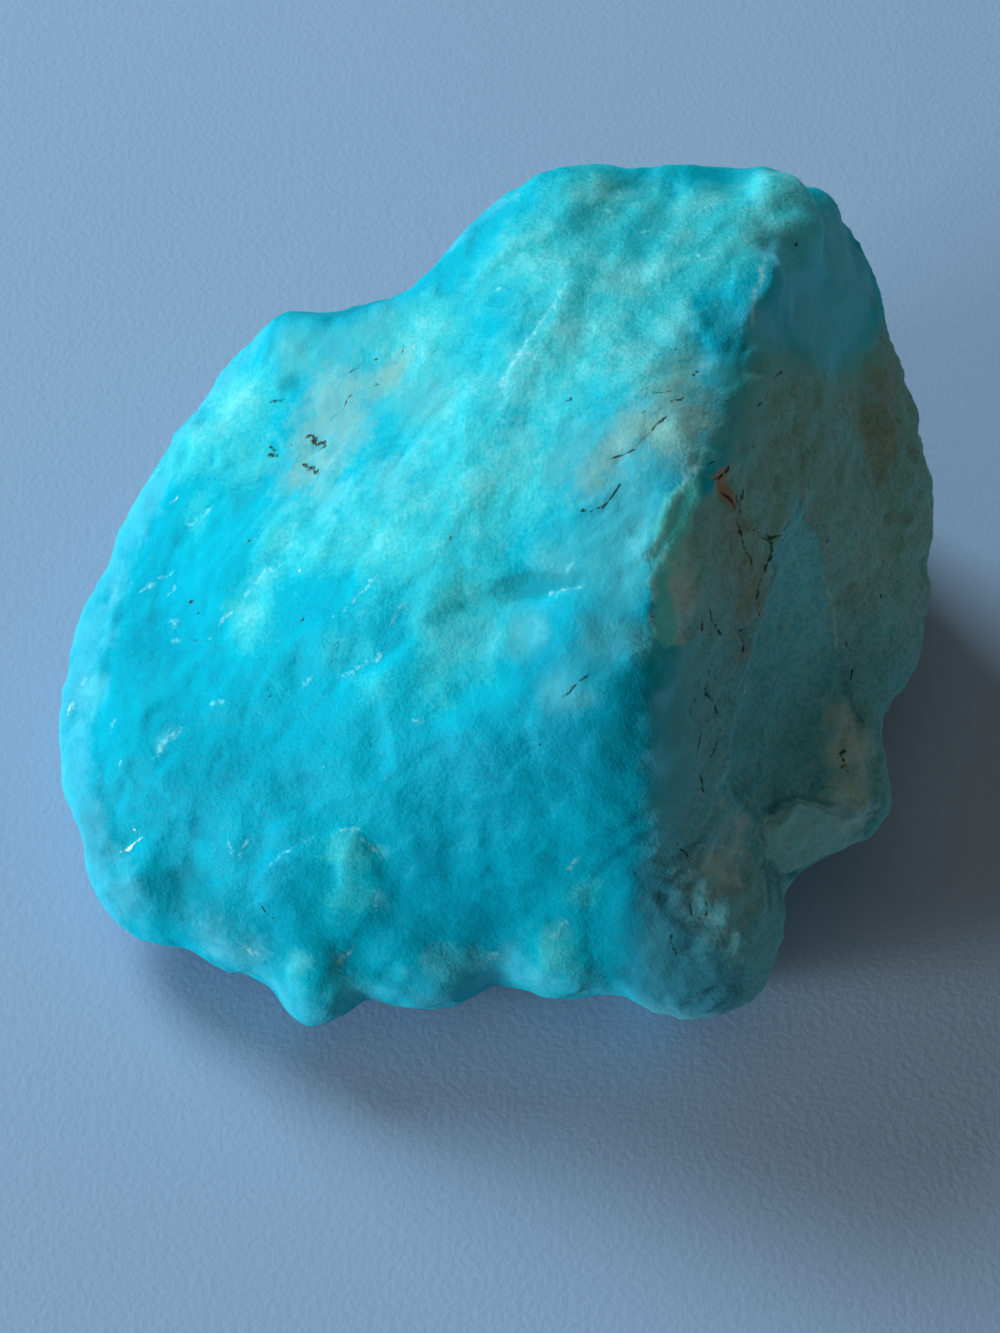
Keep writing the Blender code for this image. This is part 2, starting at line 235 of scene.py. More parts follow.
def patch_field(tree, points, patches):
    """A soft mask from round patches that melt together: where each shows, and its radius."""
    bare = np.ones(len(points))
    for across, down, radius in patches:
        middle = spot(tree, across, down)
        if middle is not None:
            bare *= 1.0 - PATCH_COVER * np.exp(-(((points - middle) / radius) ** 2).sum(axis=1))
    return 1.0 - bare


def beside(points, chain, reach):
    """The numbers of the points that may be within reach of a chain of spots."""
    low, high = chain.min(axis=0) - reach, chain.max(axis=0) + reach
    return np.flatnonzero(((points > low) & (points < high)).all(axis=1))


def line_field(tree, points, facing, lines):
    """How near each point is to the lines, from 1 on one to 0 where its mark ends, and how far it is
    beside the nearest line, in that line's reach, below 0 on the left of it."""
    near_to = np.zeros(len(points))
    side_of = np.full(len(points), LINE_FADE)
    for reach, *line in lines:
        chain = path(tree, line)
        if not len(chain):
            continue
        close = beside(points, chain, LINE_FADE * reach)
        gap, _, nearest, way = along_path(points[close], chain)
        side = ((points[close] - nearest) * np.cross(way, facing[close])).sum(axis=1) / reach
        share = 1.0 - gap / (LINE_FADE * reach)
        better = share > near_to[close]
        near_to[close[better]] = share[better]
        side_of[close[better]] = side[better]
    return near_to, side_of


def tapered(share, times):
    """1 along a line, easing to 0 at each end over one part in this many of it."""
    return smooth(times * share) * smooth(times - times * share)


def area_field(places, front, areas):
    """A mask from outlines in the view, each with its own soft edge."""
    field = np.zeros(len(places))
    for soft, *outline in areas:
        field = np.maximum(field, smooth(depth_in(places, outline) / soft + 0.5))
    return field * front


# ---------------------------------------------------------------- the skin's mesh


def link(name, mesh):
    made = bpy.data.objects.new(name, mesh)
    bpy.context.scene.collection.objects.link(made)
    return made


def settle(piece):
    """Makes a piece's modified shape its own mesh."""
    shown = piece.evaluated_get(bpy.context.evaluated_depsgraph_get())
    mesh = bpy.data.meshes.new_from_object(shown)
    piece.modifiers.clear()
    piece.data = mesh


def points_of(piece):
    """The piece's points in millimetres, and the way that its skin faces at each."""
    count = len(piece.data.vertices)
    points = np.empty(3 * count)
    facing = np.empty(3 * count)
    piece.data.vertices.foreach_get("co", points)
    piece.data.vertex_normals.foreach_get("vector", facing)
    return points.reshape(-1, 3) / MM, facing.reshape(-1, 3)


def move_points(piece, points):
    piece.data.vertices.foreach_set("co", (points * MM).ravel())
    piece.data.update()


def tree_of(piece):
    """The piece as a tree that lines of sight can hit, in millimetres."""
    points, _ = points_of(piece)
    faces = [tuple(face.vertices) for face in piece.data.polygons]
    return BVHTree.FromPolygons([Vector(point) for point in points], faces)


def neighbour_mean(piece, values):
    """The mean of each point's neighbours' values."""
    count = len(piece.data.edges)
    ends = np.empty(2 * count, int)
    piece.data.edges.foreach_get("vertices", ends)
    ends = ends.reshape(-1, 2)
    total = np.zeros((len(values),) + values.shape[1:])
    number = np.zeros(len(values))
    for a, b in ((ends[:, 0], ends[:, 1]), (ends[:, 1], ends[:, 0])):
        np.add.at(total, a, values[b])
        np.add.at(number, a, 1.0)
    return total / number.reshape((-1,) + (1,) * (values.ndim - 1))


def even_skin():
    """The solid's form with a skin of small even squares."""
    stone = link("stone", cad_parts["hemimorphite"].data.copy())
    remesh = stone.modifiers.new("skin", "REMESH")
    remesh.mode = "VOXEL"
    remesh.voxel_size = SKIN_SQUARE * MM
    soften = stone.modifiers.new("soften", "SMOOTH")
    soften.factor = 0.5
    soften.iterations = SKIN_TURNS
    settle(stone)
    return stone


# ---------------------------------------------------------------- finer forms

# Lines and an outline in the view that more than one table reads.
RIDGE = (
    657, 641, 652, 615, 659, 594, 653, 585, 657, 570, 650, 556, 660, 544, 670, 520, 679, 493, 699, 470,
)
GULLY_EDGE = (735, 815, 727, 777, 735, 721, 749, 665, 761, 614, 772, 566, 780, 538, 797, 505)
SHELF = (
    759, 823, 771, 815, 786, 801, 798, 797, 812, 804, 836, 811, 853, 821, 878, 812, 870, 832, 853, 845,
    818, 855, 805, 862, 781, 873, 767, 866,
)

# Broken edges that stand up sharply: height, reach, then the line in the view.
CRESTS = (
    (0.40, 1.8, *RIDGE),
    (0.55, 2.4, 742, 340, 756, 305, 764, 272, 768, 248),
    (0.30, 1.3, *GULLY_EDGE),
    (0.25, 1.2, 822, 510, 822, 575, 831, 608, 836, 653, 826, 700),
    (0.30, 1.0, 761, 829, 780, 811, 797, 798, 820, 808, 853, 818, 879, 810),
)

# Steps in the skin: right of each line, as one goes along it, the skin drops by the first length
# and is level again at the second.
LIPS = (
    (0.30, 3.0, *RIDGE),
    (0.20, 3.0, 706, 459, 720, 445, 734, 405, 739, 362, 751, 325, 756, 300, 760, 275),
    (0.11, 2.6, 338, 682, 360, 668, 378, 658, 400, 640, 430, 618, 467, 596, 501, 576, 532, 570, 552, 568, 578,
     562),
    (0.35, 1.5, 596, 583, 575, 589, 549, 594, 530, 600),
    (0.16, 2.6, 375, 913, 381, 885, 378, 856, 356, 830, 335, 828, 290, 847, 267, 865, 244, 886),
    (0.15, 1.6, 150, 900, 122, 850, 100, 790, 96, 720, 110, 650, 115, 612, 135, 560, 150, 520, 163, 495),
    (0.80, 5.5, *GULLY_EDGE),
    (0.80, 3.2, 866, 815, 853, 818, 820, 808, 797, 798, 780, 811, 761, 829),
    (0.12, 2.0, 568, 285, 552, 310, 535, 332, 516, 356, 503, 378, 502, 400),
    (0.25, 2.0, 608, 458, 622, 454, 640, 444, 655, 425, 670, 416),
    (0.20, 2.0, 575, 508, 592, 511, 606, 502, 622, 484),
)
# The skin drops over this width.
LIP_WIDTH = 0.6

# A crest tapers off at each end over one part in four of it, and a lip over one in five.
CREST_TAPER = 4.0
LIP_TAPER = 5.0
# How roundly lips and hollows fade out.
FADE_POWER = 1.5

# Hollows: where each shows, its radius and its depth, below 0 for a swelling.
HOLLOWS = (
    (245, 345, 4.0, 0.55), (205, 395, 4.0, 0.60), (168, 440, 4.0, 0.55), (140, 490, 3.5, 0.30),
    (112, 550, 4.0, 0.60), (90, 605, 4.0, 0.60), (75, 655, 3.0, 0.25), (655, 182, 2.5, 0.55),
    (685, 180, 2.0, 0.45), (742, 185, 2.2, 0.35), (415, 285, 3.5, -0.70), (548, 182, 3.0, -0.30),
    (792, 215, 3.6, -1.50), (798, 250, 3.4, -1.10), (852, 232, 2.4, 0.60), (858, 262, 2.0, 0.35),
    (775, 192, 2.4, -0.40), (778, 285, 2.6, -0.40), (903, 400, 3.0, 0.40), (910, 440, 3.0, 0.40),
    (905, 655, 3.0, -0.60), (882, 720, 3.5, 0.55), (884, 780, 3.5, 0.55), (775, 930, 2.5, 0.50),
    (100, 885, 3.0, 0.55), (118, 912, 3.0, 0.50), (485, 985, 2.5, 0.45), (350, 998, 1.5, 0.35),
    (812, 765, 3.6, 1.0), (182, 890, 3.4, 0.25), (728, 318, 2.0, 0.10), (728, 348, 1.6, 0.08),
    (450, 612, 3.4, -0.45), (500, 590, 2.6, -0.30), (724, 487, 1.3, 0.60), (318, 443, 0.8, 0.22),
    (278, 452, 0.7, 0.20), (313, 469, 0.7, 0.25), (928, 568, 1.5, 1.00), (893, 352, 1.0, 0.30),
    (905, 405, 0.9, -0.25), (914, 452, 1.1, 0.35), (924, 498, 0.9, -0.25), (876, 282, 1.0, 0.30),
    (897, 690, 1.6, 0.50), (868, 262, 1.2, 0.35), (598, 650, 2.4, 0.30), (520, 590, 2.4, 0.12),
    (610, 215, 3.0, 0.10), (288, 382, 1.2, 0.15), (706, 462, 0.8, 0.30), (436, 655, 4.0, -0.25),
    (715, 178, 2.2, 0.25), (120, 850, 2.6, 0.30), (905, 330, 2.0, 0.30),
)

# Worn creases: how far each is rounded, then the line in the view. Then the turns of smoothing.
WORN = (
    (5.0, 656, 655, 652, 700, 652, 760, 656, 850, 662, 930, 666, 990),
    (3.6, 806, 180, 800, 205, 788, 235, 778, 256), (3.0, 752, 322, 744, 350, 735, 385, 722, 420),
)
WORN_TURNS = 225
# How fast the wear falls from full near the line to none at the reach, and what is too little.
WORN_FALL = 1.6
WORN_LEAST = 0.01

# Flat facets: each outline in the view, drawn by this share towards its own plane, which is taken
# from the skin well inside, with this soft edge and only where the skin faces the eye.
FLAT_SHARE = 0.85
FLAT_EDGE = 7.0
FLAT_INNER = 0.6
FLAT_FRONT = 0.99
FLATS = (SHELF,)

# Places with small pits close together: a soft edge, then the outline in the view. Then the pits'
# size and depth.
PITTED = (
    (14, 822, 704, 840, 700, 865, 740, 880, 790, 858, 800, 836, 772, 822, 735),
    (24, 660, 860, 700, 842, 764, 868, 768, 900, 745, 940, 700, 955, 664, 930, 652, 895),
)
PIT_SIZE = 0.9
PIT_DEPTH = 0.22

# How noise bends crests, lips and hollows: its size, how far it moves them, and its seeds.
JAGGED = (1.6, 0.22, (3.0, 5.0, 7.0))

# Chipped flats all over: size, height, seed, stretch along the grain, and whether the fresh skin has
# less of them than the dull skin.
CHIPPED = (
    (5.5, 0.060, 0.0, 1.0, False),
    (2.3, 0.150, 11.0, 1.5, True),
    (1.3, 0.160, 17.0, 1.0, True),
)

# Overlapping plates all over: size, height, how many, seed, stretch, and whether fresh skin has less.
PLATED = (
    (6.5, 0.12, 1.6, 31.0, 2.0, False),
    (3.2, 0.10, 1.4, 47.0, 1.6, True),
)
FRESH_SHARE = 0.45

# The skin is pushed in and out only above this height over the ground, and fully this much higher.
GROUND_CLEAR = 0.25
GROUND_FADE = 1.2
# Lower skin than this is part of the flat patch that the stone lies on.
PATCH_HEIGHT = 0.2


def crest_rise(tree, points):
    rise = np.zeros(len(points))
    for height, reach, *line in CRESTS:
        chain = path(tree, line)
        near = beside(points, chain, reach)
        gap, share, _, _ = along_path(points[near], chain)
        slope = np.clip(1.0 - gap / reach, 0.0, 1.0) * tapered(share, CREST_TAPER)
        rise[near] = np.maximum(rise[near], height * slope)
    return rise


def lip_rise(tree, points, facing):
    rise = np.zeros(len(points))
    for drop, reach, *line in LIPS:
        chain = path(tree, line)
        near = beside(points, chain, reach)
        gap, share, nearest, way = along_path(points[near], chain)
        side = ((points[near] - nearest) * np.cross(way, facing[near])).sum(axis=1)
        fade = np.clip(1.0 - gap / reach, 0.0, 1.0) ** FADE_POWER * tapered(share, LIP_TAPER)
        rise[near] -= drop * smooth(side / LIP_WIDTH + 0.5) * fade
    return rise


def hollow_rise(tree, points):
    rise = np.zeros(len(points))
    for across, down, radius, depth in HOLLOWS:
        middle = spot(tree, across, down)
        if middle is not None:
            share = np.linalg.norm(points - middle, axis=1) / radius
            rise -= depth * np.clip(1.0 - share**2, 0.0, 1.0) ** FADE_POWER
    return rise


def flatten(points, facing, places, front):
    """Draws each flat facet's points towards its plane."""
    moved = points.copy()
    for outline in FLATS:
        mask = smooth(depth_in(places, outline) / FLAT_EDGE + 0.5) * (front > FLAT_FRONT)
        inner = mask > FLAT_INNER
        middle = points[inner].mean(axis=0)
        plane = facing[inner].mean(axis=0)
        plane /= np.linalg.norm(plane)
        moved -= (mask * ((points - middle) @ plane))[:, None] * plane * FLAT_SHARE
    return moved


def wear(stone):
    """Rounds the worn creases."""
    tree = tree_of(stone)
    points, _ = points_of(stone)
    group = stone.vertex_groups.new(name="worn")
    for reach, *line in WORN:
        gap = along_path(points, path(tree, line))[0]
        share = smooth(WORN_FALL - WORN_FALL * gap / reach)
        for number in np.flatnonzero(share > WORN_LEAST).tolist():
            group.add((number,), share[number], "REPLACE")
    soften = stone.modifiers.new("wear", "SMOOTH")
    soften.factor = 0.5
    soften.iterations = WORN_TURNS
    soften.vertex_group = "worn"
    settle(stone)


def roughen(stone, zones):
    """Pushes the skin in and out: first the broken forms, then the fine ones."""
    tree = tree_of(stone)
    points, facing = points_of(stone)
    places = view_of(points)
    front = in_front(points, facing)
    standing = smooth((points[:, 2] - GROUND_CLEAR) / GROUND_FADE)
    jagged = points + wander(points, *JAGGED)
    rise = crest_rise(tree, jagged) + lip_rise(tree, jagged, facing) + hollow_rise(tree, jagged)
    rough = FRESH_SHARE + (1.0 - FRESH_SHARE) * zones["dull"]
    for size, height, seed, stretch, varies in CHIPPED:
        rise += chips(stretched(points, stretch), size, seed) * height * (rough if varies else 1.0)
    for size, height, levels, seed, stretch, varies in PLATED:
        rise += plates(stretched(points, stretch), size, levels, seed) * height * (rough if varies else 1.0)
    pitted = area_field(places, front, PITTED)
    rise -= np.maximum(clouds(points, PIT_SIZE, seed=15.0), 0.0) * PIT_DEPTH * pitted
    flat = flatten(points, facing, places, front)
    move_points(stone, flat + (rise * standing)[:, None] * facing)


def keep_in_box(stone):
    """Keeps the skin inside the solid's box, and lays its flat patch on the ground."""
    points, _ = points_of(stone)
    low, high = (np.array(corner) / MM for corner in cad_box)
    points = np.clip(points, low, high)
    points[points[:, 2] < PATCH_HEIGHT, 2] = 0.0
    move_points(stone, points)


# ---------------------------------------------------------------- colour zones

# Round soft patches: where each shows, and its radius.
PATCHES = {
    # Mostly the stone's paler clouds; those on the shoulder at the top right and one below the lip are painted
    # light where the skin turns away from the lamps.
    "pale": (
        (570, 400, 3.4), (520, 480, 5.5), (440, 430, 5.5), (560, 360, 4.5), (400, 540, 5.0), (515, 395, 2.2),
        (300, 520, 4.2), (230, 410, 3.6), (672, 330, 3.0), (420, 340, 4.0), (240, 470, 2.8), (430, 680, 3.0),
        (690, 290, 2.2), (345, 640, 2.4), (300, 350, 2.2), (370, 330, 2.4), (430, 640, 2.6), (530, 240, 4.2),
        (610, 280, 3.4), (200, 515, 2.2), (600, 200, 3.0), (570, 250, 3.0), (655, 280, 2.4), (350, 905, 2.4),
        (560, 960, 2.6), (300, 975, 1.8), (790, 205, 2.2), (590, 890, 2.0), (250, 610, 2.6), (745, 240, 2.6),
        (190, 440, 2.4), (640, 360, 2.6), (380, 690, 2.0), (795, 195, 3.0), (820, 225, 3.0), (790, 250, 3.0),
        (680, 235, 2.6), (640, 200, 2.4), (715, 200, 2.0), (720, 268, 2.0), (700, 272, 2.2), (585, 330, 2.6),
        (480, 470, 2.0), (345, 860, 2.0), (590, 190, 2.4), (330, 985, 1.8), (472, 600, 3.0), (762, 232, 2.2),
        (482, 668, 2.4), (670, 375, 2.4),
    ),
    # Mostly the stone's deeper tone; the one in the dark hollow at the lower left is painted shade.
    "deep": (
        (230, 770, 2.0), (150, 650, 3.2), (722, 318, 1.8), (718, 350, 1.4), (540, 715, 2.6), (480, 745, 2.4),
        (520, 790, 2.2), (600, 670, 2.0), (200, 830, 1.6), (182, 890, 2.4), (425, 860, 1.8), (560, 765, 3.0),
        (480, 920, 2.4), (330, 600, 2.2), (600, 635, 1.8), (400, 910, 2.6), (630, 720, 2.6), (630, 860, 2.6),
        (640, 940, 2.4), (500, 800, 2.8), (560, 700, 3.0), (600, 660, 2.6), (560, 745, 2.6), (600, 610, 1.8),
        (548, 660, 2.0),
    ),
    # Painted shade: spots made darker where the stone lies in its own shadow, in hollows and on the low lobes
    # at the front.
    "painted_shade_spots": (
        (95, 840, 2.2), (120, 905, 2.2), (190, 895, 2.4), (208, 922, 1.8), (645, 900, 3.0), (655, 960, 3.0),
        (680, 925, 2.8), (690, 990, 3.2), (182, 890, 2.2), (612, 680, 1.6), (618, 740, 1.6), (668, 880, 3.0),
        (680, 960, 3.4),
    ),
    "grey": (
        (290, 352, 2.6), (335, 345, 2.2), (385, 322, 2.2), (395, 378, 3.0), (430, 402, 2.6), (640, 430, 3.2),
        (610, 480, 3.0), (640, 525, 2.8), (580, 445, 2.4), (560, 560, 2.2), (620, 570, 2.8), (600, 640, 2.2),
        (560, 690, 1.8), (520, 630, 2.0), (640, 640, 1.6), (580, 700, 1.4), (722, 368, 1.5), (716, 395, 1.4),
        (700, 420, 1.8), (560, 480, 2.0), (670, 450, 2.0),
    ),
    "rust": (
        (724, 487, 1.0), (735, 520, 1.3), (745, 560, 1.6), (752, 590, 1.4), (742, 620, 1.4), (738, 655, 1.3),
        (885, 335, 2.2), (890, 385, 2.2), (890, 435, 2.2), (872, 300, 1.4), (864, 370, 1.7), (872, 462, 1.8),
        (860, 420, 1.6),
    ),
    # Partly the bluer stone on the dull side, partly a painted glow of light through the thin shoulder at the
    # top right.
    "blue": (
        (830, 250, 3.0), (795, 295, 3.4), (805, 325, 3.0), (765, 326, 2.2), (850, 235, 2.6), (862, 275, 2.2),
        (825, 335, 2.4), (850, 320, 3.0), (710, 985, 3.4), (690, 1000, 2.4), (660, 760, 1.6), (665, 700, 1.4),
        (845, 300, 2.4), (800, 225, 2.6), (775, 262, 1.4), (720, 880, 2.2),
    ),
    # Painted shade: the darkest spots, on the lobe at the lower right that lies in the main body's shadow, and
    # in the pocket where the stone meets the paper.
    "painted_deep_shade_spots": (
        (662, 905, 2.4), (660, 945, 2.6), (668, 985, 2.8), (690, 1005, 2.4), (648, 985, 2.0), (655, 870, 1.6),
        (705, 965, 2.6), (715, 992, 2.4), (690, 930, 2.0), (800, 880, 1.6), (780, 892, 1.4),
    ),
    # Painted light: pale spots on the dull skin where its own forms leave it in shade, as on the ledge below
    # the lip and at the shelf's right end.
    "light": (
        (675, 520, 1.6), (672, 560, 1.8), (680, 600, 1.8), (676, 640, 1.4), (690, 480, 1.4), (720, 440, 1.8),
        (728, 880, 1.6), (838, 750, 2.0), (700, 455, 1.6), (705, 480, 1.4), (680, 575, 1.6), (742, 820, 1.2),
        (860, 820, 1.8), (850, 785, 2.2), (838, 715, 2.0), (862, 750, 2.0), (740, 850, 1.4), (680, 740, 1.2),
        (722, 800, 1.2), (712, 870, 1.4),
    ),
    # Mostly whitish spots in the stone; those just left of the crest at the top right are painted light over a
    # dip in shade.
    "white": (
        (562, 930, 1.1), (552, 938, 1.0), (248, 950, 1.4), (222, 952, 1.1), (455, 965, 1.3), (430, 970, 1.1),
        (95, 690, 1.8), (80, 720, 0.9), (115, 590, 1.4), (640, 545, 1.3), (505, 385, 0.8), (520, 385, 1.8),
        (845, 735, 1.2), (852, 770, 1.0), (345, 955, 0.8), (376, 895, 0.9), (372, 850, 0.8), (625, 190, 0.9),
        (680, 325, 2.2), (668, 352, 2.0), (690, 372, 1.8), (684, 425, 2.2), (390, 480, 2.6), (330, 500, 2.0),
        (520, 440, 2.2), (350, 985, 1.6), (482, 632, 1.8), (450, 650, 2.0), (480, 960, 1.4), (262, 585, 1.5),
        (165, 745, 0.9), (300, 960, 1.4), (535, 630, 1.0), (540, 980, 1.2),
    ),
}

# Outlines in the view: a soft edge, then the outline.
AREAS = {
    "dull": (
        (24, 750, 465, 737, 446, 722, 466, 712, 482, 694, 502, 681, 526, 671, 548, 660, 556, 664, 572, 661, 585,
         666, 594, 660, 615, 664, 641, 720, 650, 780, 560, 775, 480),
        (100, 762, 338, 738, 384, 726, 420, 724, 460, 736, 520, 730, 650, 1040, 650, 1040, 335, 900, 322, 870,
         335, 840, 355, 800, 352),
        (90, 730, 500, 700, 620, 668, 660, 662, 700, 658, 760, 654, 850, 650, 930, 655, 1000, 660, 1080, 1040,
         1080, 1040, 560),
    ),
    "cool": ((200, 600, 650, 1040, 650, 1040, 1100, 600, 1100),),
    "gully": (
        (6, 797, 500, 789, 522, 776, 560, 766, 600, 757, 640, 748, 690, 737, 724, 727, 765, 716, 792, 722, 812,
         758, 822, 772, 812, 797, 796, 822, 792, 838, 770, 846, 720, 842, 680, 834, 640, 826, 590, 815, 545,
         803, 508),
    ),
    # Painted light: the ledge below the lip is lightened where the lip's step leaves it in shade.
    "ledge": (
        (12, 662, 500, 674, 484, 694, 470, 703, 478, 696, 505, 690, 535, 684, 565, 681, 600, 673, 640, 661, 650,
         650, 628, 654, 600, 651, 575, 656, 545),
    ),
    "scab": ((4, 711, 472, 722, 466, 730, 468, 733, 482, 738, 500, 731, 510, 723, 502, 716, 487),),
    "shelf": ((5, *SHELF),),
    "crust": (
        (14, 824, 704, 842, 698, 862, 738, 884, 780, 878, 812, 856, 812, 838, 780, 826, 735),
        (26, 664, 862, 700, 838, 716, 796, 740, 804, 764, 866, 768, 900, 755, 935, 710, 950, 668, 925, 656,
         895),
    ),
    # Partly the stone's paler rim, partly a painted glow of light through the thin left edge.
    "rim": (
        (36, 160, 478, 163, 497, 150, 520, 135, 560, 128, 590, 115, 612, 113, 632, 103, 670, 96, 700, 95, 750,
         99, 785, 108, 820, 122, 848, 140, 862, 150, 895, 160, 945, 100, 930, 40, 800, 30, 700, 60, 600, 110,
         500),
    ),
    "core": (
        (130, 50, 640, 150, 540, 250, 560, 330, 575, 420, 590, 500, 600, 560, 690, 660, 700, 700, 1030, 300,
         1080, 60, 900),
    ),
    "stain": (
        (60, 305, 372, 345, 362, 395, 350, 420, 342, 408, 370, 382, 400, 366, 440, 350, 470, 322, 492, 288, 500,
         272, 486, 286, 450, 292, 420, 300, 395),
        (70, 645, 372, 690, 358, 712, 385, 730, 420, 715, 462, 690, 482, 660, 462, 628, 470, 600, 500, 574, 505,
         572, 470, 600, 430, 628, 400),
    ),
    # Mostly deep blue patches in the stone; the third outline is the painted shadow under the lip's step.
    "blue_and_lip_shadow_areas": (
        (16, 272, 386, 284, 373, 301, 368, 298, 384, 290, 392, 276, 393),
        (22, 714, 296, 738, 300, 748, 328, 742, 352, 728, 362, 714, 336),
        (5, 492, 590, 502, 577, 532, 570, 560, 570, 583, 563, 590, 569, 572, 586, 546, 592, 520, 602, 502, 603),
        (26, 575, 610, 600, 612, 622, 640, 610, 655, 590, 652, 574, 630),
    ),
}

